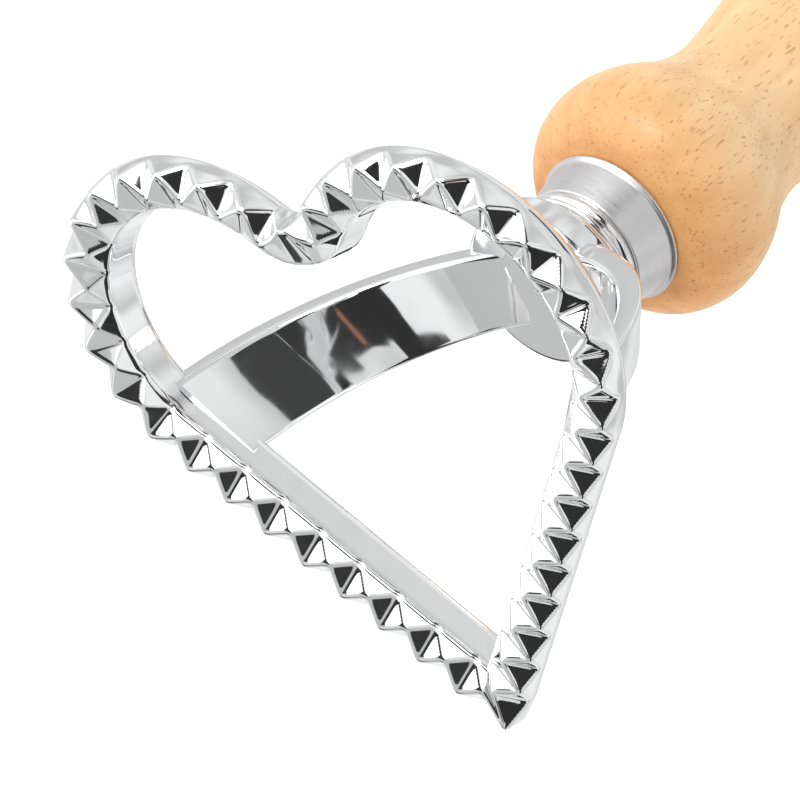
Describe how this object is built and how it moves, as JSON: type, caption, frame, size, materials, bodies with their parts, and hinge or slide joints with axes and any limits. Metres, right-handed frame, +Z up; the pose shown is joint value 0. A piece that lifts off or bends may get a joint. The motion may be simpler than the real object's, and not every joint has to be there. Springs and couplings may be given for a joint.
{
  "type": "pastry stamp cutter",
  "caption": "Hand stamp that cuts a heart of dough with a zigzag edge: plated heart rim on an arched strap, ferrule and turned wooden handle.",
  "frame": {"origin": "bottom centre of the whole tool's box, on the floor that one straight side of the heart lies on", "axes": "+Y along the handle, away from the zigzag edge; +Z up from the floor; the heart lies in the XZ plane with its tip at low Z and high X"},
  "size_m": [0.0634, 0.1164, 0.062],
  "materials": {
    "cutter_chrome": "bright plated",
    "collar_chrome": "bright plated",
    "satin_steel": "satin",
    "bright_steel": "zinc plated",
    "handle_wood": "sanded, oiled"
  },
  "bodies": {
    "root": {"cutter_casting": "cutter_chrome", "lock_washer": "bright_steel", "neck_collar": "collar_chrome", "ferrule": "satin_steel", "handle_stud": "bright_steel", "handle": "handle_wood"}
  },
  "joints": []
}
